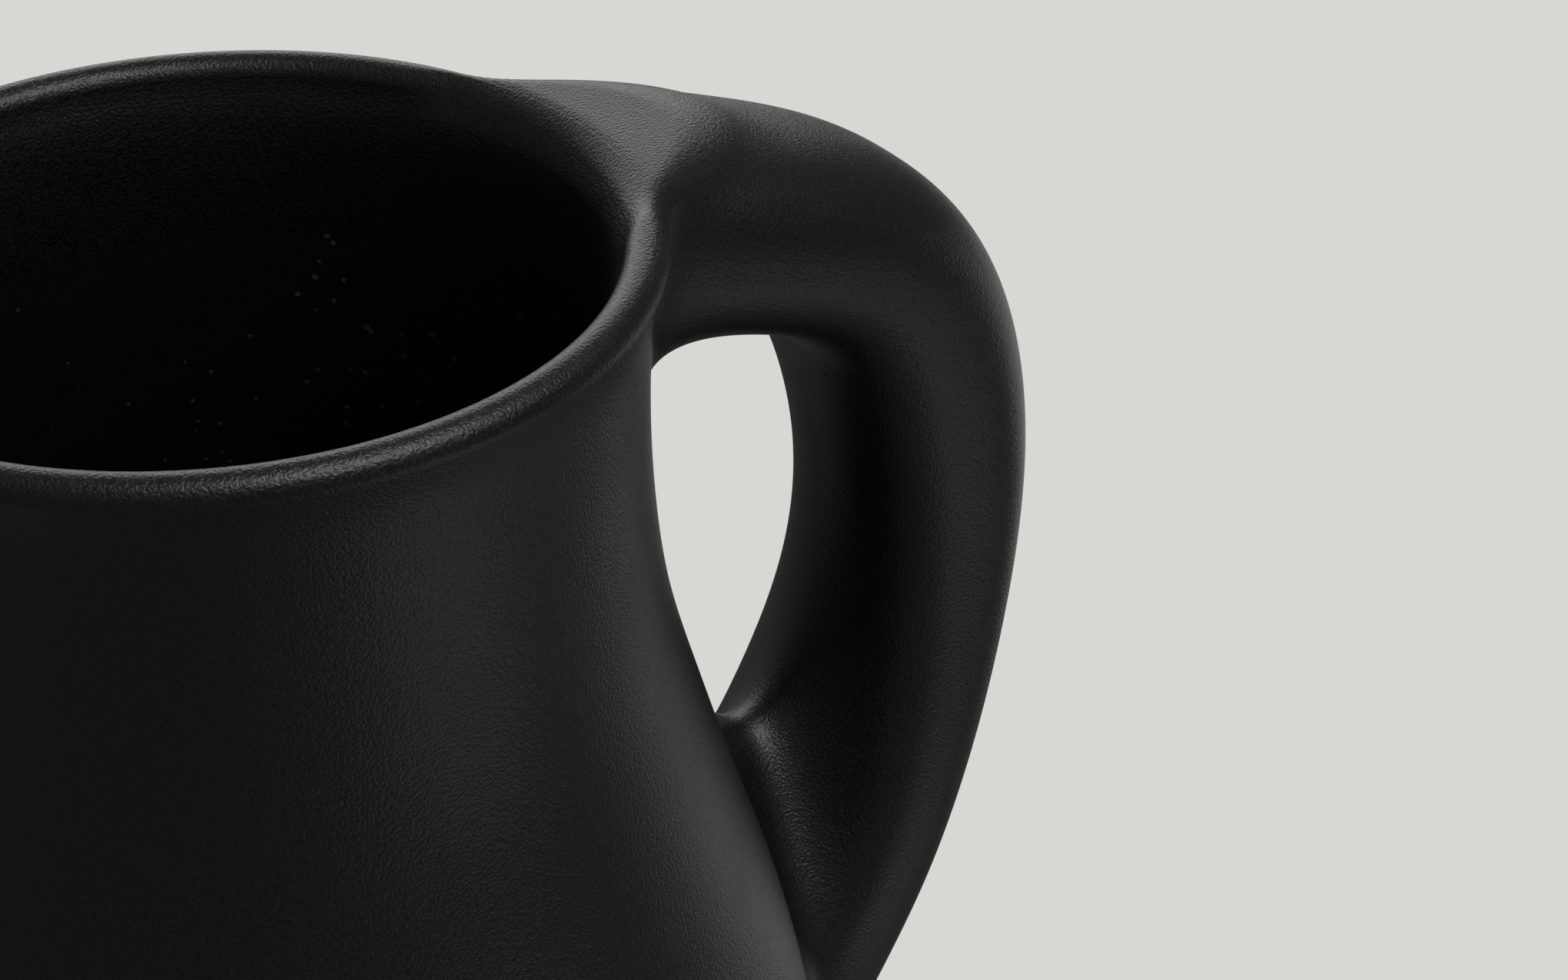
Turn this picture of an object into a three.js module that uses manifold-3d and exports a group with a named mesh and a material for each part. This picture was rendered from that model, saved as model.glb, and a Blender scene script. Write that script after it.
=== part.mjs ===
// A stoneware mug: a pear-shaped cup with a narrow neck and a thick, softly
// rounded handle that leaves the lip flush and lands low on the belly.
//
// Millimetres, +Z up. The mug stands on z = 0, its handle points along +X, and
// the X-Z plane is its mirror plane. The pieces are drawn about the cup's axis;
// at the end the whole mug is moved so that the middle of its footprint, cup
// and handle together, is at the origin.

import * as THREE from 'three';
import { mergeVertices } from 'three/addons/utils/BufferGeometryUtils.js';
import Module from 'manifold-3d';

const wasm = await Module();
wasm.setup();

// ---------------------------------------------------------------- sizes

const HEIGHT = 117;          // table to the top of the lip
const LIP_RADIUS = 35;       // axis to the middle of the lip
const LIP_ROLL = 1.75;       // radius of the fully rounded lip
const WALL_AT_LIP = 3.5;     // finished wall, glaze included
const WALL_AT_FOOT = 4.5;
const GAP = 0.3;             // clearance between pieces that touch

const UNDERSIDE_Z = 4;       // clay underside, inside the foot ring
const FLOOR_Z = 9;           // finished inner floor
const FLOOR_CORNER = 11;     // radius that joins the floor to the wall
const FLOOR_RADIUS = 45.2;   // reach of that corner from the axis

const GLAZE = 0.6;           // thickness of the liner glaze
const LINER_TOP_Z = 106;     // where the liner ends below the lip
const LINER_TOP_RADIUS = 31.7;   // finished inside of the neck there
const LINER_EDGE = 3;        // height of the liner's straight top edge

const FOOT_OUTER_RADIUS = 43.5;
const FOOT_INNER_RADIUS = 37.5;
const FOOT_EDGE = 1;         // rounding of the foot ring's edges

const ROUND_STEPS = 48;      // facets around the cup
const WALL_STEPS = 16;       // facets up the cup
const HANDLE_SIDES = 24;     // facets around the handle

// Outside of the cup, from the foot up to the flare under the lip: radius,
// height.
const OUTLINE = [
  [44.6, 4], [47.6, 9], [49.4, 16], [49.7, 22], [49.1, 30], [47.8, 38.2],
  [45.3, 48.8], [42.1, 59.2], [39.1, 69.8], [36.5, 80.2], [35.2, 90.8],
  [34.9, 99.5], [35.2, 107.6], [36.3, 113.7],
];

// Middle line of the handle, from inside the mouth to inside the belly:
// distance from the axis, height.
const HANDLE_LINE = [
  [24, 111.3], [35, 109], [48.8, 104.9], [61.8, 97.7], [68.6, 84.4],
  [70.1, 69.5], [67.6, 54.6], [62.2, 40.6], [55.2, 28.5], [48, 20.5], [39, 16],
];

// Half thickness and half width of the handle at equal steps along it.
const HANDLE_HALF_THICKNESS = [11.5, 9.1, 10.2, 9.4, 8.8, 8.6];
const HANDLE_HALF_WIDTH = [14, 13.6, 11.3, 11.8, 14.8, 14.5];
const HANDLE_SQUARENESS = 2.5;   // superellipse power of the section

const UPPER_JOINT_END = 0.21;    // share of the handle line
const LOWER_JOINT_START = 0.79;
const FLARE = 3.5;               // how far a joint spreads on to the cup
const FLARE_REACH = 0.12;        // share of the handle line that a flare takes
const BURIED_ABOVE = 0.09;       // share at the upper end that lies inside the cup
const BURIED_BELOW = 0.1;        // and at the lower end

// ------------------------------------------------------------ materials

function glaze(color, roughness) {
  return new THREE.MeshStandardMaterial({ color, roughness, metalness: 0 });
}

const mattGlaze = glaze(0x232324, 0.55);
const linerGlaze = glaze(0x121213, 0.45);
const bareClay = glaze(0x5b4a3e, 0.9);

// -------------------------------------------------------------- helpers

/** A closed geometry as a solid that can be cut. */
function toSolid(geometry) {
  const bare = geometry.clone();
  bare.deleteAttribute('normal');
  bare.deleteAttribute('uv');
  const merged = mergeVertices(bare, 1e-4);
  return new wasm.Manifold(new wasm.Mesh({
    numProp: 3,
    vertProperties: new Float32Array(merged.attributes.position.array),
    triVerts: new Uint32Array(merged.index.array),
  }));
}

/** A solid as a geometry again. */
function toGeometry(solid) {
  const mesh = solid.getMesh();
  const geometry = new THREE.BufferGeometry();
  geometry.setAttribute('position', new THREE.BufferAttribute(mesh.vertProperties, 3));
  geometry.setIndex(new THREE.BufferAttribute(mesh.triVerts, 1));
  geometry.computeVertexNormals();
  return geometry;
}

/** Turns a profile of [radius, height] points about the Z axis. */
function turn(profile) {
  const points = profile.map(([radius, height]) => new THREE.Vector2(radius, height));
  return new THREE.LatheGeometry(points, ROUND_STEPS).rotateX(Math.PI / 2);
}

/** Points on an arc about (radius, height), between two angles in degrees. */
function arc(radius, height, size, from, to, steps) {
  return Array.from({ length: steps + 1 }, (_, i) => {
    const angle = THREE.MathUtils.degToRad(from + (to - from) * i / steps);
    return [radius + size * Math.cos(angle), height + size * Math.sin(angle)];
  });
}

/** A smooth curve through values at equal steps, read with sizeAt. */
function sizeCurve(values) {
  return new THREE.SplineCurve(values.map((value, i) => new THREE.Vector2(i, value)));
}

/** The value of a size curve at a share, 0 to 1, of its length. */
function sizeAt(curve, share) {
  return curve.getPoint(THREE.MathUtils.clamp(share, 0, 1)).y;
}

// ------------------------------------------------------------- the walls

const outline = new THREE.SplineCurve(OUTLINE.map(([r, z]) => new THREE.Vector2(r, z)));

/** Point on the cup's wall, a depth below its outer surface. */
function wallPoint(u, depth) {
  const point = outline.getPointAt(u);
  const tangent = outline.getTangentAt(u);
  return [point.x - tangent.y * depth, point.y + tangent.x * depth];
}

/** Finished thickness of the wall at a height. */
function wallAt(height) {
  return THREE.MathUtils.mapLinear(height, FLOOR_Z, HEIGHT, WALL_AT_FOOT, WALL_AT_LIP);
}

/** The outer surface from the foot to the lip, moved outwards by grow. */
function outerWall(grow = 0) {
  return Array.from({ length: WALL_STEPS + 1 }, (_, i) => wallPoint(i / WALL_STEPS, -grow));
}

/**
 * The inner surface from just below the liner's top edge down to the axis. It
 * lies `under` below the finished inside, so that the clay and both faces of
 * the liner run side by side.
 */
function innerWall(under) {
  const wall = [];
  for (let i = WALL_STEPS; i > 0; i -= 1) {
    const z = outline.getPointAt(i / WALL_STEPS).y;
    if (z < LINER_TOP_Z - LINER_EDGE && z > FLOOR_Z + FLOOR_CORNER) {
      wall.push(wallPoint(i / WALL_STEPS, wallAt(z) - under));
    }
  }
  const cornerSize = FLOOR_CORNER + under;
  const cornerZ = FLOOR_Z + FLOOR_CORNER;
  const cornerRadius = FLOOR_RADIUS - FLOOR_CORNER;
  const corner = arc(cornerRadius, cornerZ, cornerSize, -10, -90, 5);
  return [...wall, ...corner, [0, cornerZ - cornerSize]];
}

// ------------------------------------------------------------ the pieces

/** Thrown cup: underside, outer wall, rolled lip, inner wall and floor. */
function cupBody() {
  const lipZ = HEIGHT - LIP_ROLL;
  const bed = GLAZE + GAP;
  const lip = arc(LIP_RADIUS, lipZ, LIP_ROLL, 20, 180, 7);
  const underLip = [LINER_TOP_RADIUS, LINER_TOP_Z + GAP];
  const shoulder = [LINER_TOP_RADIUS + bed, LINER_TOP_Z + GAP];
  const inside = innerWall(bed);
  return turn([[0, UNDERSIDE_Z], ...outerWall(), ...lip, underLip, shoulder, ...inside]);
}

/** Liner glaze: the thin coat over the inner wall and the floor. */
function linerCoat() {
  const topZ = LINER_TOP_Z;
  const face = [[LINER_TOP_RADIUS, topZ], ...innerWall(0)];
  const back = [[LINER_TOP_RADIUS + GLAZE, topZ], ...innerWall(GLAZE)];
  return turn([...back.reverse(), ...face]);
}

/** Foot ring: the bare clay ring that the mug stands on. */
function footRing() {
  const top = UNDERSIDE_Z - GAP;
  const outer = FOOT_OUTER_RADIUS - FOOT_EDGE;
  const inner = FOOT_INNER_RADIUS + FOOT_EDGE;
  const start = [FOOT_INNER_RADIUS, top];
  return turn([
    start,
    ...arc(inner, FOOT_EDGE, FOOT_EDGE, 180, 270, 3),
    ...arc(outer, FOOT_EDGE, FOOT_EDGE, 270, 360, 3),
    [FOOT_OUTER_RADIUS, top],
    start,
  ]);
}

const handleLine = new THREE.CatmullRomCurve3(
  HANDLE_LINE.map(([x, z]) => new THREE.Vector3(x, 0, z)), false, 'centripetal',
);

const halfThickness = sizeCurve(HANDLE_HALF_THICKNESS);
const halfWidth = sizeCurve(HANDLE_HALF_WIDTH);

/** Extra half size of the section where a joint spreads on to the cup. */
function flareAt(u) {
  const toWall = Math.max(0, Math.min(u - BURIED_ABOVE, 1 - BURIED_BELOW - u));
  const near = Math.max(0, 1 - toWall / FLARE_REACH);
  return FLARE * near * near;
}

/** Superellipse coordinate: keeps the sign, squares the corner. */
function squared(value) {
  return Math.sign(value) * Math.abs(value) ** (2 / HANDLE_SQUARENESS);
}

/** A closed stretch of the handle between two shares of its line. */
function handleStretch(from, to, steps) {
  const geometry = new THREE.CylinderGeometry(1, 1, 1, HANDLE_SIDES, steps);
  const position = geometry.attributes.position;
  for (let i = 0; i < position.count; i += 1) {
    const u = THREE.MathUtils.lerp(from, to, position.getY(i) + 0.5);
    const centre = handleLine.getPointAt(u);
    const tangent = handleLine.getTangentAt(u);
    const thickness = sizeAt(halfThickness, u) + flareAt(u);
    const width = sizeAt(halfWidth, u) + flareAt(u);
    const out = squared(position.getX(i)) * thickness;
    const across = squared(position.getZ(i)) * width;
    position.setXYZ(i, centre.x - tangent.z * out, across, centre.z + tangent.x * out);
  }
  return geometry;
}

/** The space that the cup fills, lip and mouth included, plus the gap. */
function cupSpace() {
  const wall = outerWall(GAP);
  const brim = wall[wall.length - 1][0];
  const above = 2 * HEIGHT;
  return toSolid(turn([[0, UNDERSIDE_Z], ...wall, [brim, above], [0, above]]));
}

/** Everything below the height of the lip's middle line. */
function belowLip() {
  const top = HEIGHT - LIP_ROLL;
  const box = new THREE.BoxGeometry(4 * HEIGHT, 4 * HEIGHT, top - UNDERSIDE_Z);
  return toSolid(box.translate(0, 0, (top + UNDERSIDE_Z) / 2));
}

/** A luted joint: the flared root of the handle, cut to the cup's wall. */
function joint(from, to) {
  const root = toSolid(handleStretch(from, to, 6));
  return toGeometry(root.intersect(belowLip()).subtract(cupSpace()));
}

// ---------------------------------------------------------- the assembly

const halfGap = GAP / 2 / handleLine.getLength();

const pieces = [
  ['cup_body', cupBody(), mattGlaze],
  ['foot_ring', footRing(), bareClay],
  ['liner_glaze', linerCoat(), linerGlaze],
  ['handle', handleStretch(UPPER_JOINT_END + halfGap, LOWER_JOINT_START - halfGap, 20), mattGlaze],
  ['upper_handle_joint', joint(0, UPPER_JOINT_END - halfGap), mattGlaze],
  ['lower_handle_joint', joint(LOWER_JOINT_START + halfGap, 1), mattGlaze],
];

const mug = new THREE.Group();
for (const [name, geometry, material] of pieces) {
  const mesh = new THREE.Mesh(geometry, material);
  mesh.name = name;
  mug.add(mesh);
}

const footprint = new THREE.Box3().setFromObject(mug).getCenter(new THREE.Vector3());
mug.position.x = -footprint.x;

export default mug;
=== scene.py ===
# %% [markdown]
# # A stoneware mug, thrown, handled and glazed
#
# The mug is a turned cup with a pulled handle luted to it, a bare foot ring to
# stand on, and two glazes: a satin black outside and a darker liner inside.
# This lesson makes each piece the way its maker would: round pieces on a
# wheel, the handle as clay drawn along a curve and smoothed on to the wall.
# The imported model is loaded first, and every place is read from it.

# %% Load the frame
import math

import bmesh
import bpy
import numpy as np
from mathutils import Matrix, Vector


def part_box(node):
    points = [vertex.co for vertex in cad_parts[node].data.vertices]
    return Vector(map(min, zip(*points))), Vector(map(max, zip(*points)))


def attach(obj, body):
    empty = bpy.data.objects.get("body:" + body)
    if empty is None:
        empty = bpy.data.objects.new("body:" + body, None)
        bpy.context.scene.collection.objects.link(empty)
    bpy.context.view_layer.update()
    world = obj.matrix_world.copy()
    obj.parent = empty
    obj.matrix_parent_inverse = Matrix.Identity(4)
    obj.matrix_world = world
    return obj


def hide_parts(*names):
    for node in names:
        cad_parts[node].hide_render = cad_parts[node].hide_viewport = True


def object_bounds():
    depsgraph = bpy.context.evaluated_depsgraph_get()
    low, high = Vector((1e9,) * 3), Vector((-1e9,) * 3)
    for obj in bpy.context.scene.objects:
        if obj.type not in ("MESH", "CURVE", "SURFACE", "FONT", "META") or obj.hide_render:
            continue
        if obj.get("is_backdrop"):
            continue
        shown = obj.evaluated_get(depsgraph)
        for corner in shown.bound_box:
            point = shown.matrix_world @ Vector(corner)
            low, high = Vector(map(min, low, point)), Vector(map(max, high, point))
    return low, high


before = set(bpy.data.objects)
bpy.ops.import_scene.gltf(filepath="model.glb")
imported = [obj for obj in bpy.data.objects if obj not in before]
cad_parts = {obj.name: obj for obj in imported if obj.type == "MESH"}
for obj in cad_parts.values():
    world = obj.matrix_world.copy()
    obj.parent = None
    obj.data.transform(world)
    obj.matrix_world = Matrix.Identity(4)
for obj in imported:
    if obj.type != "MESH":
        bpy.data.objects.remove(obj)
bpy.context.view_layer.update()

cup_low, cup_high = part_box("cup_body")
LIP_TOP = 117.0
MM = cup_high[2] / LIP_TOP
AXIS = np.array([(cup_low[0] + cup_high[0]) / 2, 0.0, 0.0])
print(f"one model millimetre is {MM:.6f} m, the cup's axis is at x = {AXIS[0]:.4f} m")

# %% [markdown]
# ## The camera comes first
#
# The picture looks into the mouth from a little above the lip, close up, with
# the handle to the right and turned away. A 77 mm lens on a full-frame sensor
# keeps the lip's ellipse calm. The camera is placed about the middle of the
# lip, in turned millimetres: right, away and up as the viewer sees them.

# %% Camera
LIP_RADIUS = 35.0
LIP_ROLL = 1.75
HANDLE_TURN = 0.606
CAMERA_FROM_LIP = (45.74, -233.13, 125.95)
CAMERA_TILT = math.radians(32.3125)
CAMERA_LENS = 76.875
SENSOR = 36.0


def from_view(right, away, up):
    """Turns a viewer's direction, right, away and up, into the mug's frame."""
    cos, sin = math.cos(HANDLE_TURN), math.sin(HANDLE_TURN)
    return Vector((right * cos + away * sin, away * cos - right * sin, up))


lip_centre = Vector(AXIS) + Vector((0, 0, (LIP_TOP - LIP_ROLL) * MM))
camera_data = bpy.data.cameras.new("camera")
camera_data.lens = CAMERA_LENS
camera_data.sensor_width = SENSOR
camera = bpy.data.objects.new("camera", camera_data)
camera.location = lip_centre + from_view(*CAMERA_FROM_LIP) * MM
camera.rotation_euler = (math.pi / 2 - CAMERA_TILT, 0, -HANDLE_TURN)
bpy.context.scene.collection.objects.link(camera)
bpy.context.scene.camera = camera
print(f"the camera stands {(camera.location - lip_centre).length:.3f} m from the lip")

# %% [markdown]
# ## The outline of the cup
#
# A thrown cup is one outline turned about an axis, so the outline decides
# everything: a rounded belly low down, a narrow neck and a lip that opens by
# not quite two millimetres. A natural cubic spline through a few points
# bends evenly, as clay does under a rib, where straight pieces would show.


# %% A spline and the outline
def natural_spline(points, count):
    """Even samples of the smoothest cubic curve through the points."""
    points = np.array(points, float)
    steps = np.linalg.norm(np.diff(points, axis=0), axis=1)
    place = np.concatenate([[0], np.cumsum(steps)])
    size = len(points)
    system = np.eye(size)
    bend = np.zeros_like(points)
    slopes = np.diff(points, axis=0) / steps[:, None]
    for i in range(1, size - 1):
        system[i, i - 1:i + 2] = steps[i - 1], 2 * (steps[i - 1] + steps[i]), steps[i]
        bend[i] = 6 * (slopes[i] - slopes[i - 1])
    curvature = np.linalg.solve(system, bend)
    at = np.linspace(0, place[-1], count)
    i = np.clip(np.searchsorted(place, at) - 1, 0, size - 2)
    step, a, b = steps[i, None], (place[i + 1] - at)[:, None], (at - place[i])[:, None]
    return (
        (curvature[i] * a**3 + curvature[i + 1] * b**3) / (6 * step)
        + (points[i] / step - curvature[i] * step / 6) * a
        + (points[i + 1] / step - curvature[i + 1] * step / 6) * b
    )


OUTLINE = [
    (44.6, 4.0), (47.6, 9.0), (49.4, 16.0), (49.7, 22.0), (49.1, 30.0), (47.8, 38.2),
    (45.3, 48.8), (42.1, 59.2), (39.1, 69.8), (36.5, 80.2), (35.2, 90.8), (34.9, 99.5),
    (35.17, 107.6), (35.7, 111.8), (36.75, 115.25),
]
outline = natural_spline(OUTLINE, 2400)
outline_slope = np.gradient(outline[:, 0], outline[:, 1])
belly = 2 * outline[:, 0].max()
neck = 2 * outline[outline[:, 1] > LIP_TOP / 2, 0].min()
print(f"belly {belly:.1f} mm across, neck {neck:.1f} mm")

# %% [markdown]
# ## The wall
#
# The wall is 4.5 mm thick at the foot and 3.5 mm at the lip, where it ends in
# a full round. Both faces of the wall come from the one outline, pushed in
# along its own normal, so that the inside follows the outside. The wall is also
# written as a distance from each face, which the lip and the handle's joints
# need later. The profile's points near the lip are slid on to that distance's
# zero, so that the turned cup and the joints follow the same surface.

# %% Wall, lip and floor as points of a profile
WALL_AT_FOOT = 4.5
WALL_AT_LIP = 3.5
FLOOR_Z = 9.0
FLOOR_CORNER = 11.0
FLOOR_RADIUS = 45.2
UNDERSIDE_Z = 4.0
LIP_Z = LIP_TOP - LIP_ROLL
ROLL_FROM_Z = 107.0
WALL_POINTS = 185
FLOOR_POINTS = 35


def wall_at(z):
    """Thickness of the finished wall at a height."""
    return np.interp(z, [FLOOR_Z, LIP_TOP], [WALL_AT_FOOT, WALL_AT_LIP])


def wall_fields(x, y, z):
    """Distances outside the outer face and inside the inner face."""
    radius = np.hypot(x, y)
    slope = np.interp(z, outline[:, 1], outline_slope)
    upright = 1 / np.sqrt(1 + slope**2)
    face = np.interp(z, outline[:, 1], outline[:, 0])
    outer = (radius - face) * upright
    return outer, -outer - wall_at(z)


def round_max(a, b, radius):
    """The larger of two fields, with its edge rounded."""
    corner = np.hypot(np.maximum(a + radius, 0), np.maximum(b + radius, 0))
    return np.minimum(-radius, np.maximum(a, b)) + corner


def lip_field(radius, z):
    """Distance to the wall where it ends in the rolled lip."""
    outer, inner = wall_fields(radius, 0 * radius, z)
    return round_max(round_max(outer, z - LIP_TOP, LIP_ROLL), inner, LIP_ROLL)


def rolled(points, reach=0.02):
    """Moves the profile's upper points on to the wall's rounded lip."""
    points = points.copy()
    top = points[:, 1] > ROLL_FROM_Z
    for _ in range(6):
        here = points[top]
        value = lip_field(*here.T)
        slope_r = (lip_field(here[:, 0] + reach, here[:, 1]) - value) / reach
        slope_z = (lip_field(here[:, 0], here[:, 1] + reach) - value) / reach
        step = value / np.maximum(slope_r**2 + slope_z**2, 0.05)
        points[top] = here - np.stack([slope_r, slope_z], 1) * step[:, None]
    return points


def arc(centre, radius, start, end, count):
    """Points on an arc, with its angles in degrees."""
    angle = np.radians(np.linspace(start, end, count))
    across, up = radius * np.cos(angle), radius * np.sin(angle)
    return np.stack([centre[0] + across, centre[1] + up], 1)


def outside():
    """The outer face from the foot to the start of the lip's round."""
    return natural_spline(OUTLINE, WALL_POINTS)


def inside(depth):
    """The finished inner face from the lip down to the axis, moved into the
    clay by depth(z)."""
    outer = outside()
    tangent = np.gradient(outer, axis=0)
    tangent /= np.linalg.norm(tangent, axis=1)[:, None]
    normal = np.stack([-tangent[:, 1], tangent[:, 0]], 1)
    move = wall_at(outer[:, 1]) - depth(outer[:, 1])
    inner = (outer + normal * move[:, None])[::-1]
    corner_z = FLOOR_Z + FLOOR_CORNER
    sunk = depth(np.array([corner_z]))[0]
    wall = inner[(inner[:, 1] > corner_z + 2) & (inner[:, 1] < LIP_Z - 1)]
    corner_middle = (FLOOR_RADIUS - FLOOR_CORNER, corner_z)
    corner = arc(corner_middle, FLOOR_CORNER + sunk, 0, -90, 24)
    floor_r = np.linspace(corner[-1, 0], 0, FLOOR_POINTS + 1)[1:]
    floor = np.stack([floor_r, np.full(FLOOR_POINTS, corner[-1, 1])], 1)
    return np.concatenate([wall, corner, floor])


# %% [markdown]
# ## A wheel made of Geometry Nodes
#
# Turning follows a rule: every point of the profile goes round the axis. A
# Geometry Nodes tree does it for all the round pieces. It lays out a grid with
# one row for each profile point and one column for each step round the axis,
# puts every grid point at its place on the circle, and merges the seam and the
# poles. A Spin in mesh code would do as well, but the tree keeps the number of
# steps as a named input.


# %% A helper for node trees, and the wheel
class Tree:
    """Adds nodes to a tree: a type, its settings, then its sockets."""

    def __init__(self, tree):
        self.tree = tree

    def node(self, kind, settings=None, inputs=None, output=0):
        made = self.tree.nodes.new(kind)
        for name, value in (settings or {}).items():
            if name == "stops":
                ramp = made.color_ramp
                while len(ramp.elements) < len(value):
                    ramp.elements.new(0.5)
                for element, (place, grey) in zip(ramp.elements, value):
                    element.position = place
                    element.color = (grey, grey, grey, 1)
            else:
                setattr(made, name, value)
        for name, value in (inputs or {}).items():
            socket = made.inputs[name]
            if isinstance(value, Flow):
                self.tree.links.new(value.socket, socket)
            else:
                socket.default_value = value
        return Flow(self, made.outputs[output])


class Flow:
    """A socket that takes part in Python sums."""

    def __init__(self, tree, socket):
        self.tree = tree
        self.socket = socket

    def maths(self, operation, first, second=0.0):
        kind = "ShaderNodeMath"
        return self.tree.node(kind, {"operation": operation}, {0: first, 1: second})

    def __add__(self, other):
        return self.maths("ADD", self, other)

    __radd__ = __add__

    def __mul__(self, other):
        return self.maths("MULTIPLY", self, other)

    __rmul__ = __mul__

    def __truediv__(self, other):
        return self.maths("DIVIDE", self, other)

    def __mod__(self, other):
        return self.maths("FLOORED_MODULO", self, other)

    def floor(self):
        return self.maths("FLOOR", self)

    def wave(self, name):
        return self.maths(name, self)


def build_wheel():
    """A node tree that turns a profile, drawn as a mesh line, about Z."""
    tree = bpy.data.node_groups.new("throwing_wheel", "GeometryNodeTree")
    face = tree.interface
    face.new_socket("Profile", in_out="INPUT", socket_type="NodeSocketGeometry")
    face.new_socket("Steps round", in_out="INPUT", socket_type="NodeSocketInt")
    face.new_socket("Glaze", in_out="INPUT", socket_type="NodeSocketMaterial")
    face.new_socket("Turned piece", in_out="OUTPUT", socket_type="NodeSocketGeometry")
    kit = Tree(tree)
    entry = tree.nodes.new("NodeGroupInput")
    profile, steps, glaze = (Flow(kit, entry.outputs[i]) for i in range(3))
    of_mesh = {"component": "MESH"}
    rows = kit.node("GeometryNodeAttributeDomainSize", of_mesh, {0: profile})
    counts = {"Vertices X": steps + 1, "Vertices Y": rows}
    grid = kit.node("GeometryNodeMeshGrid", {}, counts)
    index = kit.node("GeometryNodeInputIndex")
    angle = (index / rows).floor() * (2 * math.pi) / steps
    place = kit.node("GeometryNodeInputPosition")
    sample = {"data_type": "FLOAT_VECTOR", "domain": "POINT"}
    pick = {0: profile, "Value": place, "Index": index % rows}
    point = kit.node("GeometryNodeSampleIndex", sample, pick)
    split = kit.node("ShaderNodeSeparateXYZ", {}, {0: point}).socket.node
    radius, height = Flow(kit, split.outputs["X"]), Flow(kit, split.outputs["Z"])
    across, away = radius * angle.wave("COSINE"), radius * angle.wave("SINE")
    turned = kit.node("ShaderNodeCombineXYZ", {}, {"X": across, "Y": away, "Z": height})
    placed = kit.node("GeometryNodeSetPosition", {}, {0: grid, "Position": turned})
    closed = kit.node("GeometryNodeMergeByDistance", {}, {0: placed, "Distance": 1e-7})
    smooth = kit.node("GeometryNodeSetShadeSmooth", {}, {0: closed})
    real = kit.node("GeometryNodeRealizeInstances", {}, {0: smooth})
    done = kit.node("GeometryNodeSetMaterial", {}, {0: real, "Material": glaze})
    exit_node = tree.nodes.new("NodeGroupOutput")
    tree.links.new(done.socket, exit_node.inputs[0])
    return tree


wheel = build_wheel()
print(f"the wheel has {len(wheel.nodes)} nodes")


# %% From a profile to a finished piece
STEPS_ROUND = 288


def as_piece(name, mesh, node):
    """Names a finished mesh and ties it to the frame."""
    mesh.name = name
    piece = bpy.data.objects.new(name, mesh)
    bpy.context.scene.collection.objects.link(piece)
    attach(piece, "root")
    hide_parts(node)
    print(f"{name}: {len(mesh.polygons)} faces")


def turn(profile, glaze):
    """Turns a closed or pole-to-pole profile, in millimetres, into a mesh."""
    line = bpy.data.meshes.new("profile")
    points = np.stack([profile[:, 0], 0 * profile[:, 0], profile[:, 1]], 1) * MM
    edges = [(i, i + 1) for i in range(len(points) - 1)]
    line.from_pydata(points.tolist(), edges, [])
    blank = bpy.data.objects.new("profile", line)
    bpy.context.scene.collection.objects.link(blank)
    modifier = blank.modifiers.new("wheel", "NODES")
    modifier.node_group = wheel
    entries = [item for item in wheel.interface.items_tree if item.in_out == "INPUT"]
    sockets = {entry.name: entry.identifier for entry in entries}
    modifier[sockets["Steps round"]] = STEPS_ROUND
    modifier[sockets["Glaze"]] = glaze
    graph = bpy.context.evaluated_depsgraph_get()
    turned = bpy.data.meshes.new_from_object(blank.evaluated_get(graph))
    bpy.data.objects.remove(blank)
    bpy.data.meshes.remove(line)
    work = bmesh.new()
    work.from_mesh(turned)
    bmesh.ops.recalc_face_normals(work, faces=work.faces)
    bmesh.ops.translate(work, verts=work.verts, vec=Vector(AXIS))
    work.to_mesh(turned)
    work.free()
    return turned


# %% [markdown]
# ## The glazes
#
# The outer glaze is a satin black: almost no colour of its own, so the eye
# reads it by its sheen. Its surface is finely pimpled, like orange peel a
# quarter of a millimetre across, which breaks the sheen into grain. Colour,
# roughness and bump are all worked out from Object coordinates, so the pattern
# runs on without a seam from the cup to the joints and the handle. The liner is
# blacker still, with a thin scatter of pale pinholes, and the foot is bare clay.

# %% Glaze and clay recipes
PINHOLE_SPACING = 2.2


def new_recipe(name):
    """A material with a Principled shader, ready for its sockets."""
    material = bpy.data.materials.new(name)
    material.use_nodes = True
    kit = Tree(material.node_tree)
    shader = material.node_tree.nodes["Principled BSDF"]
    place = kit.node("ShaderNodeTexCoord", output=3)
    return material, kit, shader, place


def grain(kit, place, size, detail=2.0):
    """Fractal noise with grains of about the given size in millimetres."""
    sockets = {"Vector": place, "Scale": 1 / (size * MM), "Detail": detail}
    return kit.node("ShaderNodeTexNoise", {}, sockets)


def ramp(kit, value, stops):
    """Greys between the stops, picked by a value."""
    return kit.node("ShaderNodeValToRGB", {"stops": stops}, {0: value})


def bumped(kit, shader, height, distance):
    """Feeds a height to the shader's normal; the distance is in millimetres."""
    sockets = {"Height": height, "Distance": distance * MM, "Strength": 1.0}
    bump = kit.node("ShaderNodeBump", {}, sockets)
    kit.tree.links.new(bump.socket, shader.inputs["Normal"])


def feed(kit, shader, name, flow):
    """Links a varying value to one of the shader's sockets."""
    kit.tree.links.new(flow.socket, shader.inputs[name])


def satin_black():
    """The outer glaze."""
    material, kit, shader, place = new_recipe("satin_black_glaze")
    shader.inputs["Specular IOR Level"].default_value = 0.5
    fine = grain(kit, place, 0.26, 1.0)
    patch = grain(kit, place, 9.0, 3.0)
    feed(kit, shader, "Base Color", ramp(kit, fine, [(0.35, 0.0), (0.65, 0.006)]))
    feed(kit, shader, "Roughness", 0.32 + 0.12 * fine + 0.08 * patch)
    bumped(kit, shader, fine, 0.075)
    return material


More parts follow.
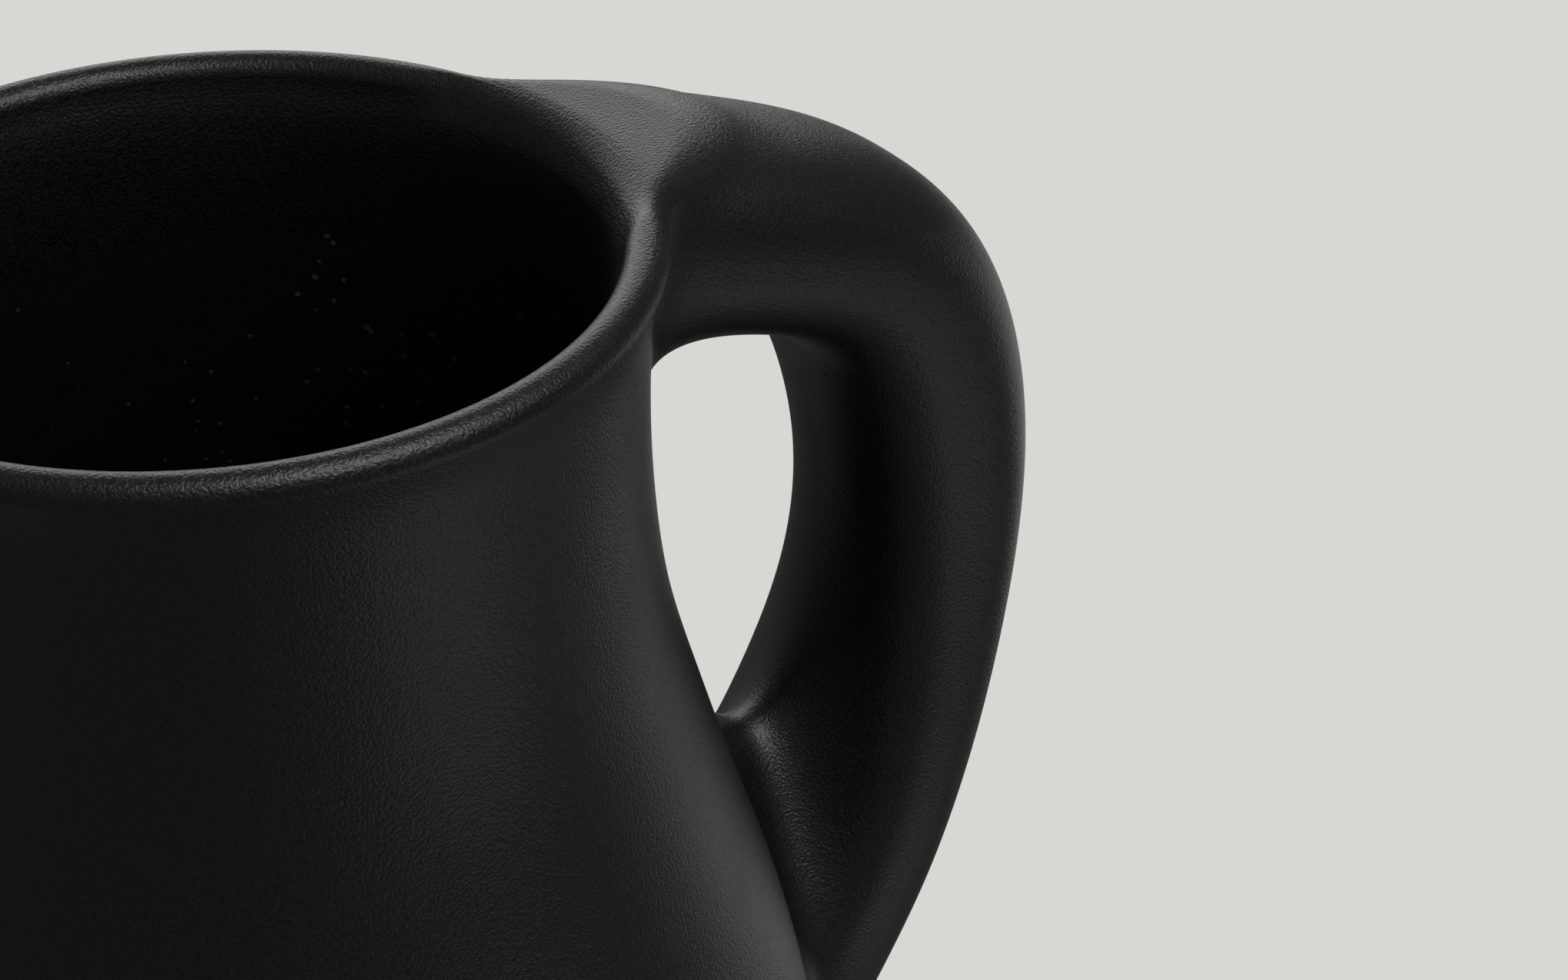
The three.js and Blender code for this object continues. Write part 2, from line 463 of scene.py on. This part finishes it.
def liner_black():
    """The inner glaze, blacker, with a scatter of pale pinholes."""
    material, kit, shader, place = new_recipe("liner_glaze")
    shader.inputs["Specular IOR Level"].default_value = 0.45
    fine = grain(kit, place, 0.3)
    spacing = {"Vector": place, "Scale": 1 / (PINHOLE_SPACING * MM)}
    spots = kit.node("ShaderNodeTexVoronoi", {}, spacing)
    cluster = grain(kit, place, 14.0)
    pinhole = ramp(kit, spots + 0.5 * cluster, [(0.32, 0.05), (0.36, 0.0015)])
    feed(kit, shader, "Base Color", pinhole)
    feed(kit, shader, "Roughness", 0.42 + 0.12 * fine)
    bumped(kit, shader, fine, 0.06)
    return material


def raw_clay():
    """The foot ring: dark stoneware with sandy grains, dry to the touch."""
    material, kit, shader, place = new_recipe("raw_stoneware")
    sand = grain(kit, place, 0.5, 4.0)
    feed(kit, shader, "Base Color", ramp(kit, sand, [(0.35, 0.05), (0.65, 0.14)]))
    feed(kit, shader, "Roughness", 0.80 + 0.15 * sand)
    bumped(kit, shader, sand, 0.08)
    return material


SATIN = satin_black()
LINER = liner_black()
CLAY = raw_clay()

# %% [markdown]
# ## The cup, its liner and its foot
#
# The cup's profile runs from the middle of the underside up the outer face,
# over the lip and down the inside to the floor. The liner is a closed shell of
# glaze over that inside, 0.6 mm thick. It rests in a bed only three hundredths
# deep, and its top edge dips under the clay's surface below the lip, so the two
# glazes meet in a line that can't be seen or felt.

# %% Turn the round pieces
LINER_TOP_Z = 106.0
LINER_FADE = 8.0
LINER_THICKNESS = 0.6
BED = 0.03
UNDERSIDE_RADIUS = 44.2
UNDERSIDE_POINTS = 60
FOOT_INNER_RADIUS = 37.5
FOOT_OUTER_RADIUS = 43.5
FOOT_EDGE = 1.0
FOOT_OVERLAP = 0.05


def eased(value):
    """Zero to one, with a soft start and end."""
    value = np.clip(value, 0, 1)
    return value * value * (3 - 2 * value)


def bed(z):
    """Depth of the clay's inner face below the finished inside."""
    return BED * eased((LINER_TOP_Z - z) / LINER_FADE)


def dip(z):
    """Depth of the liner's face: nothing, until its top edge sinks in."""
    return 2 * BED * eased((z - LINER_TOP_Z + LINER_FADE) / LINER_FADE)


def cup_profile():
    """Underside, outer face, lip and inside of the thrown cup."""
    radii = np.linspace(0, UNDERSIDE_RADIUS, UNDERSIDE_POINTS)
    underside = np.stack([radii, np.full(UNDERSIDE_POINTS, UNDERSIDE_Z)], 1)
    lip = arc((LIP_RADIUS, LIP_Z), LIP_ROLL, 0, 180, 26)[1:]
    return rolled(np.concatenate([underside, outside(), lip, inside(bed)]))


def liner_profile():
    """Back and face of the liner, closed at the axis and at its top edge."""
    face = inside(dip)
    back = inside(lambda z: dip(z) + LINER_THICKNESS)
    face, back = (side[side[:, 1] < LINER_TOP_Z] for side in (face, back))
    return np.concatenate([back[::-1], face])


def foot_profile():
    """A ring with rounded lower edges."""
    inner, outer, edge = FOOT_INNER_RADIUS, FOOT_OUTER_RADIUS, FOOT_EDGE
    top = UNDERSIDE_Z + FOOT_OVERLAP
    return np.concatenate([
        [(inner, top)],
        arc((inner + edge, edge), edge, 180, 270, 10),
        arc((outer - edge, edge), edge, 270, 360, 10),
        [(outer, top)],
        [(inner, top)],
    ])


cup_mesh = turn(cup_profile(), SATIN)
liner_mesh = turn(liner_profile(), LINER)
foot_mesh = turn(foot_profile(), CLAY)
as_piece("liner_glaze_coat", liner_mesh, "liner_glaze")
as_piece("turned_foot_ring", foot_mesh, "foot_ring")

# %% [markdown]
# ## The handle as drawn clay
#
# The handle follows a curve in the mug's mirror plane. Its section is a soft
# rectangle, widest low down, a little narrower at the lip and narrowest round
# the shoulder, where it is also thick. Where it meets the cup, the potter
# smooths the clay until there is no seam. A loft can't do that, so the shape is
# written as a field: a number at each point in space that is negative inside
# the clay. Two fields can be merged with a soft minimum, which fills the corner
# between them. The fill reaches far in the middle of the handle, as a thumb
# leaves it, and only a little at the sides, where a tight crease stays.

# %% The handle's line and section
HANDLE_LINE = [
    (24.0, 111.3), (35.0, 109.0), (48.8, 104.9), (61.8, 97.7), (68.6, 84.4),
    (70.1, 69.5), (67.6, 54.6), (62.2, 40.6), (55.2, 28.5), (48.0, 20.5),
    (39.0, 16.0),
]
HALF_THICKNESS = [11.5, 9.1, 10.2, 9.4, 8.8, 8.6]
HALF_WIDTH = [14.0, 13.6, 11.3, 11.8, 14.8, 14.5]
SECTION_POWER = 2.5
LINE_SAMPLES = 400


def sized(values):
    """A smooth size for every sample of the handle's line."""
    at = np.linspace(0, LINE_SAMPLES, len(values))
    curve = natural_spline(np.stack([at, values], 1), 60 * len(values))
    samples = np.linspace(0, LINE_SAMPLES, LINE_SAMPLES)
    return np.interp(samples, curve[:, 0], curve[:, 1])


line = natural_spline(HANDLE_LINE, 4 * LINE_SAMPLES)
run = np.concatenate([[0], np.cumsum(np.linalg.norm(np.diff(line, axis=0), axis=1))])
even = np.linspace(0, run[-1], LINE_SAMPLES)
line = np.stack([np.interp(even, run, line[:, i]) for i in (0, 1)], 1)
line_step = even[1]
line_dir = np.gradient(line, axis=0)
line_dir /= np.linalg.norm(line_dir, axis=1)[:, None]
line_side = np.stack([-line_dir[:, 1], line_dir[:, 0]], 1)
half_thickness, half_width = sized(HALF_THICKNESS), sized(HALF_WIDTH)
print(f"the handle's line is {run[-1]:.0f} mm long")


# %% The fields
def soft_min(a, b, reach):
    """The smaller of two fields, with the corner between them filled."""
    near = np.maximum(reach - np.abs(a - b), 0) / reach
    return np.minimum(a, b) - near**3 * reach / 6


UPPER_BLEND = 22.0
LOWER_BLEND = 32.0
SIDE_BLEND = 5.5
LOWER_SIDE_BLEND = 15.0
FILLET_HALF_WIDTH = 17.0
MIDDLE_CHANGE = (80.0, 30.0)
SIDE_CHANGE = (52.0, 24.0)
LIP_SOFTENING = 1.6


def nearest_on_line(x, z):
    """The closest sample of the handle's line, as a fractional index."""
    found = np.empty(x.shape)
    for start in range(0, len(x), 20000):
        part = slice(start, start + 20000)
        away = (x[part, None] - line[:, 0]) ** 2 + (z[part, None] - line[:, 1]) ** 2
        found[part] = away.argmin(1)
    i = found.astype(int)
    past = (x - line[i, 0]) * line_dir[i, 0] + (z - line[i, 1]) * line_dir[i, 1]
    return np.clip(found + np.clip(past / line_step, -0.5, 0.5), 0, LINE_SAMPLES - 1)


def handle_field(x, y, z, place):
    """Distance to the handle's skin, negative inside."""
    i = np.minimum(place.astype(int), LINE_SAMPLES - 2)
    t = place - i

    def at(values):
        return values[i] * (1 - t) + values[i + 1] * t

    dx, dz = x - at(line[:, 0]), z - at(line[:, 1])
    thick, wide = at(half_thickness), at(half_width)
    off = np.abs(dx * at(line_side[:, 0]) + dz * at(line_side[:, 1]))
    beyond = np.abs(dx * at(line_dir[:, 0]) + dz * at(line_dir[:, 1]))
    across = np.abs(y)
    ratio = (off / thick) ** SECTION_POWER + (across / wide) ** SECTION_POWER
    ratio = ratio ** (1 / SECTION_POWER)
    core = (ratio - 1) * np.minimum(thick, wide)
    skin = np.hypot(off, across) * (1 - 1 / np.maximum(ratio, 1e-6))
    skin = np.where(ratio < 0.3, core, skin)
    ended = np.hypot(np.maximum(skin, 0), beyond) + np.minimum(skin, 0)
    return np.where(beyond > 0.3, ended, skin)


def lowered(z, above, below, start, depth):
    """One value above a height, another a given depth below it."""
    return above + (below - above) * eased((start - z) / depth)


def clay_field(x, y, z, place=None):
    """The whole mug's clay near the handle, and the handle alone."""
    if place is None:
        place = nearest_on_line(x, z)
    outer, inner = wall_fields(x, y, z)
    handle = handle_field(x, y, z, place)
    aside = eased(np.abs(y) / FILLET_HALF_WIDTH)
    middle_blend = lowered(z, UPPER_BLEND, LOWER_BLEND, *MIDDLE_CHANGE)
    side_blend = lowered(z, SIDE_BLEND, LOWER_SIDE_BLEND, *SIDE_CHANGE)
    reach = middle_blend + (side_blend - middle_blend) * aside
    softened = LIP_ROLL + LIP_SOFTENING * eased(1 - handle / reach)
    merged = round_max(soft_min(outer, handle, reach), z - LIP_TOP, LIP_ROLL)
    return round_max(merged, inner, softened), handle / reach, outer


def uphill(points, step=0.04):
    """Gradient of the clay field at points, by central differences."""
    slopes = []
    for axis in range(3):
        ends = []
        for sign in (1, -1):
            moved = points.copy()
            moved[:, axis] += sign * step
            ends.append(clay_field(*moved.T)[0])
        slopes.append((ends[0] - ends[1]) / (2 * step))
    return np.stack(slopes, 1)


print(f"the fillets reach {SIDE_BLEND} to {LOWER_BLEND} mm from the crease")


# %% [markdown]
# ## A skin over the field
#
# To make a mesh of the field, space is cut into cells 0.6 mm wide. Each cell
# that the skin passes through gets one point, and points of neighbouring
# cells are joined into squares. Then every visible point is moved on to the
# skin itself. This way was chosen over metaballs, which can't follow a turned
# wall, and over a boolean with a bevel, which can't fade a fillet out.

# %% Cells to squares
CELL = 0.6
SKIN_DEPTH = 0.012
FADED = 0.88
ROOT_DEPTH = 1.55
FOOT_CLEARANCE = 1.2


def skin_cells(field, origin, cell):
    """One point in each cell that the skin passes through, and the squares."""
    inside_clay = field < 0
    count = np.zeros(np.array(field.shape) - 1, np.int8)
    corners = [(i, j, k) for i in (0, 1) for j in (0, 1) for k in (0, 1)]
    for i, j, k in corners:
        sx, sy, sz = count.shape
        count += inside_clay[i:i + sx, j:j + sy, k:k + sz]
    crossed = (count > 0) & (count < 8)
    cells = np.argwhere(crossed)
    number = np.full(count.shape, -1)
    number[crossed] = np.arange(len(cells))
    total, hits = np.zeros((len(cells), 3)), np.zeros(len(cells))
    for a in corners:
        for b in corners:
            way = np.subtract(b, a)
            if way.min() < 0 or way.sum() != 1:
                continue
            low, high = field[tuple((cells + a).T)], field[tuple((cells + b).T)]
            cut = (low < 0) != (high < 0)
            share = np.where(cut, low / np.where(cut, low - high, 1), 0)
            total += np.where(cut[:, None], a + share[:, None] * way, 0)
            hits += cut
    points = origin + (cells + total / hits[:, None]) * cell
    squares = []
    for axis in range(3):
        u, v = (axis + 1) % 3, (axis + 2) % 3
        start = [slice(0, -1)] * 3
        start[u], start[v] = slice(1, -1), slice(1, -1)
        ahead = list(start)
        ahead[axis] = slice(1, None)
        here, there = inside_clay[tuple(start)], inside_clay[tuple(ahead)]
        edge = np.argwhere(here != there)
        leaving = here[tuple(edge.T)]
        edge[:, u] += 1
        edge[:, v] += 1
        ring = []
        for du, dv in ((1, 1), (0, 1), (0, 0), (1, 0)):
            cell_at = edge.copy()
            cell_at[:, u] -= du
            cell_at[:, v] -= dv
            ring.append(number[tuple(cell_at.T)])
        ring = np.stack(ring, 1)
        ring[~leaving] = ring[~leaving][:, ::-1]
        squares.append(ring)
    return points, np.concatenate(squares)


def without_pinches(field):
    """Fills a corner wherever the clay would touch itself only along an edge."""
    for axis in (0, 1, 2, 0, 1, 2):
        layers = np.moveaxis(field, axis, 0)
        a, b = layers[:, :-1, :-1], layers[:, 1:, :-1]
        c, d = layers[:, :-1, 1:], layers[:, 1:, 1:]
        b[(a < 0) & (d < 0) & (b >= 0) & (c >= 0)] = -1e-3
        a[(b < 0) & (c < 0) & (a >= 0) & (d >= 0)] = -1e-3
    return field


xs = np.arange(12.0, 83.0, CELL)
ys = np.arange(-39.0, 39.01, CELL)
zs = np.arange(4.2, 118.5, CELL)
plane_x, plane_z = np.meshgrid(xs, zs, indexing="ij")
plane_place = nearest_on_line(plane_x.ravel(), plane_z.ravel()).reshape(plane_x.shape)
grid_x = np.broadcast_to(plane_x[:, None, :], (len(xs), len(ys), len(zs)))
grid_z = np.broadcast_to(plane_z[:, None, :], grid_x.shape)
grid_y = np.broadcast_to(ys[None, :, None], grid_x.shape)
grid_place = np.broadcast_to(plane_place[:, None, :], grid_x.shape)


def clay_piece(x, y, z, place=None):
    """Handle and smoothed joints only: the clay field, cut below the wall's
    face and where the smoothing has faded out."""
    clay, share, outer = clay_field(x, y, z, place)
    skin = clay + SKIN_DEPTH
    limits = np.maximum(-(outer + ROOT_DEPTH), (share - FADED) * SIDE_BLEND)
    limits = np.maximum(limits, UNDERSIDE_Z + FOOT_CLEARANCE - z)
    return np.maximum(skin, limits), skin, limits


solid = without_pinches(clay_piece(grid_x, grid_y, grid_z, grid_place)[0])
points, squares = skin_cells(solid, np.array([xs[0], ys[0], zs[0]]), CELL)
for _ in range(3):
    _, skin, limits = clay_piece(*points.T)
    on_skin = (skin > limits) & (np.abs(skin) < CELL)
    slope = uphill(points[on_skin])
    steep = np.maximum((slope**2).sum(1), 0.05)
    points[on_skin] -= slope * (skin[on_skin] / steep)[:, None]
print(f"handle and joints: {len(points)} points, {len(squares)} squares")

# %% [markdown]
# ## Three pieces of clay
#
# The potter made three things here: the handle, and a smoothed joint at each
# end. The one skin is cut across the handle's line into three closed pieces.
# Each keeps the slope of the uncut field as its normals, so that the light
# runs over the cuts as it does over fired clay.

# %% Cut the skin into handle and joints
UPPER_JOINT_END = 0.21
LOWER_JOINT_START = 0.79


def cut_plane(share):
    """A point of the handle's line and its direction, in metres."""
    i = int(round(share * (LINE_SAMPLES - 1)))
    point = Vector((line[i, 0], 0, line[i, 1])) * MM + Vector(AXIS)
    return point, Vector((line_dir[i, 0], 0, line_dir[i, 1]))


def clay_part(name, keep, node):
    """The stretch of the skin between cuts; keep lists (share, side) pairs."""
    work = bmesh.new()
    mesh = bpy.data.meshes.new(name)
    placed = points * MM + AXIS
    mesh.from_pydata(placed.tolist(), [], squares.tolist())
    work.from_mesh(mesh)
    for share, side in keep:
        point, direction = cut_plane(share)
        geometry = work.verts[:] + work.edges[:] + work.faces[:]
        bmesh.ops.bisect_plane(
            work, geom=geometry, dist=1e-7, plane_co=point, plane_no=direction,
            clear_outer=side < 0, clear_inner=side > 0,
        )
        rim = [edge for edge in work.edges if edge.is_boundary]
        bmesh.ops.holes_fill(work, edges=rim, sides=0)
    caps = [face for face in work.faces if len(face.verts) > 4]
    bmesh.ops.triangulate(work, faces=caps)
    bmesh.ops.recalc_face_normals(work, faces=work.faces)
    work.to_mesh(mesh)
    open_edges = sum(1 for edge in work.edges if not edge.is_manifold)
    work.free()
    shade_by_field(mesh)
    mesh.materials.append(SATIN)
    print(f"{name}: {open_edges} open edges")
    as_piece(name, mesh, node)


def shade_by_field(mesh):
    """Gives the visible faces the field's own normals."""
    count = len(mesh.vertices)
    places = np.empty(count * 3)
    mesh.vertices.foreach_get("co", places)
    places = (places.reshape(-1, 3) - AXIS) / MM
    slope = uphill(places)
    slope /= np.maximum(np.linalg.norm(slope, axis=1), 1e-9)[:, None]
    skin = np.abs(clay_field(*places.T)[0] + SKIN_DEPTH) < 0.05
    mesh.polygons.foreach_set("use_smooth", [True] * len(mesh.polygons))
    corner = np.empty(len(mesh.loops), int)
    mesh.loops.foreach_get("vertex_index", corner)
    totals = np.empty(len(mesh.polygons), int)
    mesh.polygons.foreach_get("loop_total", totals)
    flat = np.empty(len(mesh.polygons) * 3)
    mesh.polygons.foreach_get("normal", flat)
    flat = np.repeat(flat.reshape(-1, 3), totals, axis=0)
    agree = (flat * slope[corner]).sum(1) > 0.7
    use = agree & skin[corner]
    normals = np.where(use[:, None], slope[corner], flat)
    mesh.normals_split_custom_set(normals.tolist())


between_joints = [(UPPER_JOINT_END, 1), (LOWER_JOINT_START, -1)]
above_cut, below_cut = [(UPPER_JOINT_END, -1)], [(LOWER_JOINT_START, 1)]
clay_part("pulled_handle", between_joints, "handle")
clay_part("upper_luted_joint", above_cut, "upper_handle_joint")
clay_part("lower_luted_joint", below_cut, "lower_handle_joint")

# %% [markdown]
# ## Softening the lip at the handle
#
# Where the upper joint flows over the lip, the inner edge of the mouth gets a
# wider round. The turned cup can't know about the handle, so its points there
# are pressed in until they lie on the clay field.

# %% Press the lip
PRESS_DEPTH = 16.0
PRESS_FROM_X = 5.0
LARGEST_PRESS = 0.6


def press_lip(mesh):
    """Moves the cup's points near the handle down on to the clay field."""
    count = len(mesh.vertices)
    places = np.empty(count * 3)
    mesh.vertices.foreach_get("co", places)
    places = (places.reshape(-1, 3) - AXIS) / MM
    near = (places[:, 2] > LIP_TOP - PRESS_DEPTH) & (places[:, 0] > PRESS_FROM_X)
    moved = places[near]
    for _ in range(4):
        clay = clay_field(*moved.T)[0]
        slope = uphill(moved)
        steep = np.maximum((slope**2).sum(1), 0.05)
        moved -= slope * (np.clip(clay, 0, LARGEST_PRESS) / steep)[:, None]
    places[near] = moved
    mesh.vertices.foreach_set("co", (places * MM + AXIS).ravel())
    mesh.update()


press_lip(cup_mesh)
as_piece("thrown_cup", cup_mesh, "cup_body")

# %% [markdown]
# ## Floor, light and backdrop
#
# The mug stands on a plain pale floor. A soft light hangs above, in front and to
# the right, a wide one stands behind, and the room is dim, so that the black
# glaze shows long soft gradients. The floor glows by itself and only the camera
# sees it, because a bright floor would show in the glaze like a mirror. Two weak
# low lights give back the little glow that pale paper throws up at a mug.

# %% Floor and lights
FLOOR_GREY = (0.680, 0.687, 0.651, 1)
FLOOR_HALF = 4.0
floor_mesh = bpy.data.meshes.new("floor")
corners = [(-1, -1), (1, -1), (1, 1), (-1, 1)]
corners = [(FLOOR_HALF * x, FLOOR_HALF * y, 0) for x, y in corners]
floor_mesh.from_pydata(corners, [], [(0, 1, 2, 3)])
floor = bpy.data.objects.new("floor", floor_mesh)
bpy.context.scene.collection.objects.link(floor)
floor_paint = bpy.data.materials.new("pale_floor")
floor_paint.use_nodes = True
floor_shader = floor_paint.node_tree.nodes["Principled BSDF"]
floor_shader.inputs["Base Color"].default_value = (0, 0, 0, 1)
floor_shader.inputs["Roughness"].default_value = 0.9
floor_shader.inputs["Specular IOR Level"].default_value = 0.0
floor_shader.inputs["Emission Color"].default_value = FLOOR_GREY
floor_shader.inputs["Emission Strength"].default_value = 1.0
floor_mesh.materials.append(floor_paint)
floor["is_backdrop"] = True
floor.visible_glossy = False
floor.visible_diffuse = False
floor.visible_shadow = False


def softbox(name, bearing, elevation, width, height, power):
    """An area light that faces the mug, placed as the viewer sees it: bearing
    0 is to the right and 90 straight away, in degrees."""
    data = bpy.data.lights.new(name, "AREA")
    data.shape = "RECTANGLE"
    data.size, data.size_y = width, height
    data.energy = power
    lamp = bpy.data.objects.new(name, data)
    turned, raised = math.radians(bearing), math.radians(elevation)
    flat = math.cos(raised)
    way = from_view(flat * math.cos(turned), flat * math.sin(turned), math.sin(raised))
    lamp.location = MUG_MIDDLE + way * LIGHT_DISTANCE
    lamp.rotation_euler = (-way).to_track_quat("-Z", "Y").to_euler()
    bpy.context.scene.collection.objects.link(lamp)
    print(f"{name}: {power} W at bearing {bearing}, elevation {elevation}")


MUG_MIDDLE = Vector((0, 0, 60 * MM))
LIGHT_DISTANCE = 1.0
ROOM_LIGHT = 0.12
softbox("top_softbox", -31, 64, 0.45, 0.45, 5.4)
softbox("back_softbox", 104, 18, 0.9, 0.45, 3.0)
softbox("paper_glow_behind", 60, -22, 1.0, 0.4, 0.9)
softbox("paper_glow_in_front", -26, -36, 0.5, 0.4, 0.55)
world = bpy.data.worlds.new("room")
world.use_nodes = True
room = world.node_tree.nodes["Background"]
room.inputs["Color"].default_value = (1, 1, 1, 1)
room.inputs["Strength"].default_value = ROOM_LIGHT
bpy.context.scene.world = world
bpy.context.scene.view_settings.view_transform = "Standard"

# %% [markdown]
#
# The finished mug's box is printed, in millimetres.

# %% Print the finished size
low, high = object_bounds()
finished = [round((b - a) * 1000, 1) for a, b in zip(low, high)]
print("size of the finished mug in mm:", finished)
